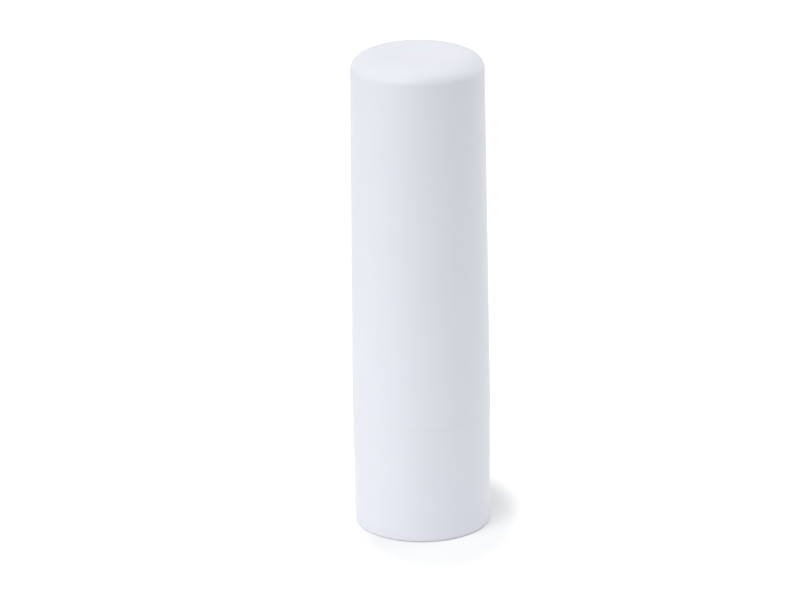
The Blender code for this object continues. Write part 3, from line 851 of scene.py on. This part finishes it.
def make_balm():
    quarter = np.linspace(math.pi / 2, 0.0, DOME_ROWS)[:, None]
    dome = np.hstack([BALM_RADIUS * np.cos(quarter), BALM_HIGH - BALM_DOME + BALM_DOME * np.sin(quarter)])
    dome[0, 0] = 0.0
    body = section([
        (BALM_RADIUS, BALM_HIGH - BALM_DOME, 0.0),
        (BALM_RADIUS, ELEVATOR_HIGH + BALM_GAP, FINE_ROUND),
        (CUP_RADIUS - BALM_GAP, ELEVATOR_HIGH + BALM_GAP, FINE_ROUND),
        (CUP_RADIUS - BALM_GAP, BALM_LOW, BALM_FOOT_ROUND),
        (NUT_RADIUS + BALM_GAP, BALM_LOW, FINE_ROUND),
        (NUT_RADIUS + BALM_GAP, NUT_TOP + BALM_GAP, FINE_ROUND),
        (BALM_BORE, NUT_TOP + BALM_GAP, FINE_ROUND),
        (BALM_BORE, BALM_BORE_TOP, SOFT_ROUND),
        (0.0, BALM_BORE_TOP, 0.0),
    ], arc_steps=6, longest=0.4)
    balm = wrap("balm_stick", np.vstack([dome[:-1], body]), columns=288, change=balm_surface)
    stand_for(balm, "balm", "carriage", balm_wax)


make_balm()

# %% [markdown]
# ## The ground
# The picture is a product shot on pure white, with so much light on the paper that only the deepest part of the
# shadow is left. Pouring that much light on the paper here would burn out the white plastic too. So the lamps stay at
# a plain level, and the paper gets painted light instead: a glow that is seen only by the camera, straight or in a
# reflection. The painted glow grows outwards in soft rings round the shadow, the way a retoucher cleans a background:
# at the foot it only lifts the shadow a little, so the shadow stays, and further out it whitens the rest of the shadow
# away and makes the paper pure white. A background could also be cut out and filled afterwards, but then the shadow
# would be gone from every other angle.

# %% Make the ground
PAPER_SIDE = 300.0  # from the stick to the paper's edge, in front and at the sides
PAPER_BACK = 1500.0
PAPER_COLOUR = "#F6F6F8"
SEEN_PAPER_COLOUR = "#FFFFFF"
# NEAR_GLOW and FAR_GLOW set painted light: an emission on the paper that only the camera and reflections see. It lifts
# the shadow at the foot a little, and from GLOW_START to GLOW_END it whitens the rest of the shadow away.
NEAR_GLOW = 0.022
FAR_GLOW = 0.342  # added to the near glow
GLOW_START = 9.2  # from the middle of the glow's rings, in mm
GLOW_END = 14.5
GLOW_MIDDLE = (2.1, -1.6)  # the rings lie round the shadow, a little right of the stick's axis and in front of it
GLOW_DEPTH = 0.63  # the rings are stretched towards and away from the camera by one over this


def seen_directly(tree):
    """1 where the camera looks, straight or through a mirror or glass, and 0 for light that lands on things."""
    path = add(tree, "LightPath")
    camera_ray, glossy_ray = path.outputs["Is Camera Ray"], path.outputs["Is Glossy Ray"]
    either = add(tree, "Math", {0: camera_ray, 1: glossy_ray}, operation="MAXIMUM")
    seen = add(tree, "Math", {0: either.outputs[0], 1: path.outputs["Is Transmission Ray"]}, operation="MAXIMUM")
    return seen.outputs[0]


def make_floor():
    mesh = bpy.data.meshes.new("floor")
    side, back = PAPER_SIDE * MM, PAPER_BACK * MM
    corners = [(-side, -side, 0.0), (side, -side, 0.0), (side, back, 0.0), (-side, back, 0.0)]
    mesh.from_pydata(corners, [], [(0, 1, 2, 3)])
    floor = bpy.data.objects.new("floor", mesh)
    bpy.context.scene.collection.objects.link(floor)
    material, tree, place = start_material("white paper with painted glow")
    seen = seen_directly(tree)
    # Painted light: the glow is emitted only towards the camera and reflections, in rings round the stick's shadow,
    # and it whitens the shadow's outer part away.
    to_middle = (-GLOW_MIDDLE[0], -GLOW_MIDDLE[1] * GLOW_DEPTH, 0.0)
    ring = add(tree, "Mapping", {"Vector": place, "Location": to_middle, "Scale": (1.0, GLOW_DEPTH, 1.0)})
    from_middle = add(tree, "VectorMath", {0: ring.outputs["Vector"]}, operation="LENGTH")
    glow = add(
        tree,
        "MapRange",
        {
            "Value": from_middle.outputs["Value"],
            "From Min": GLOW_START,
            "From Max": GLOW_END,
            "To Min": NEAR_GLOW,
            "To Max": NEAR_GLOW + FAR_GLOW,
        },
        interpolation_type="SMOOTHSTEP",
    )
    painted_glow = add(tree, "Math", {0: seen, 1: glow.outputs["Result"]}, operation="MULTIPLY")
    tint = add(
        tree,
        "Mix",
        {"Factor": seen, "A": linear(PAPER_COLOUR), "B": linear(SEEN_PAPER_COLOUR)},
        data_type="RGBA",
    )
    paper = add(tree, "BsdfDiffuse", {"Color": tint.outputs[2]})
    light = add(tree, "Emission", {"Strength": painted_glow.outputs[0]})
    both = add(tree, "AddShader", {0: paper.outputs[0], 1: light.outputs[0]})
    add(tree, "OutputMaterial", {"Surface": both.outputs[0]})
    mesh.materials.append(material)
    print(f"the extra white rises from {NEAR_GLOW} to {NEAR_GLOW + FAR_GLOW:.3f} over {GLOW_END - GLOW_START:.1f} mm")


make_floor()

# %% [markdown]
# ## The lamps
# White plastic shows its roundness only by how the light falls off across it, so the lamps stand where they give the
# photograph's brightness from edge to edge: two big soft ones in front on the left, a weak one at the far left that
# lifts the edge there, one behind on the right, and one almost overhead. One large lamp would be simpler, but it would
# leave the other side flat and grey. The world adds an even grey from above, as the walls of a white room do.

# %% Set the lamps and the world
WORLD_COLOUR = "#A5A5A5"
SOFTBOX_DISTANCE = 900.0
SOFTBOXES = {  # azimuth, elevation, width, height, power, colour
    "key": (30.0, 50.0, 600.0, 450.0, 2.32, "#FFFFFE"),
    "low_key": (45.0, 35.0, 600.0, 450.0, 1.57, "#FFFFFE"),
    "left": (90.0, 10.0, 600.0, 450.0, 0.95, "#FFFCFD"),
    "right": (-110.0, 14.0, 900.0, 800.0, 2.42, "#FCFFFE"),
    "back": (-150.0, 78.0, 900.0, 600.0, 1.80, "#FFFFFF"),
}


def make_world():
    """White where it is seen directly. Its own light comes only from above the ground, where Z is positive."""
    world = bpy.data.worlds.new("white room")
    bpy.context.scene.world = world
    world.use_nodes = True
    tree = world.node_tree
    tree.nodes.clear()
    way = add(tree, "SeparateXYZ", {0: add(tree, "TexCoord").outputs["Generated"]})
    above = add(tree, "Math", {0: way.outputs["Z"], 1: 0.0}, operation="GREATER_THAN")
    light = add(
        tree,
        "Mix",
        {"Factor": above.outputs[0], "A": linear("#000000"), "B": linear(WORLD_COLOUR)},
        data_type="RGBA",
    )
    colour = add(
        tree,
        "Mix",
        {"Factor": seen_directly(tree), "A": light.outputs[2], "B": linear("#FFFFFF")},
        data_type="RGBA",
    )
    back = add(tree, "Background", {"Color": colour.outputs[2], "Strength": 1.0})
    add(tree, "OutputWorld", {"Surface": back.outputs[0]})


def softbox(name, azimuth, elevation, width, height, power, colour):
    """A soft light that faces the stick. Azimuth 0 is on the camera's side, and it grows to the camera's left."""
    data = bpy.data.lights.new(name, "AREA")
    data.shape = "RECTANGLE"
    data.size = width * MM
    data.size_y = height * MM
    data.energy = power
    data.color = linear(colour)[:3]
    lamp = bpy.data.objects.new(name, data)
    bpy.context.scene.collection.objects.link(lamp)
    side, up = math.radians(azimuth), math.radians(elevation)
    way = Vector((-math.sin(side) * math.cos(up), -math.cos(side) * math.cos(up), math.sin(up)))
    lamp.location = Vector((0.0, 0.0, AIM_HEIGHT * MM)) + way * SOFTBOX_DISTANCE * MM
    lamp.rotation_euler = (-way).to_track_quat("-Z", "Y").to_euler()
    print(f"{name}: {power} W from {azimuth:.0f} degrees round and {elevation:.0f} degrees up")


make_world()
for name, setting in SOFTBOXES.items():
    softbox(name, *setting)
bpy.context.scene.view_settings.view_transform = "Standard"
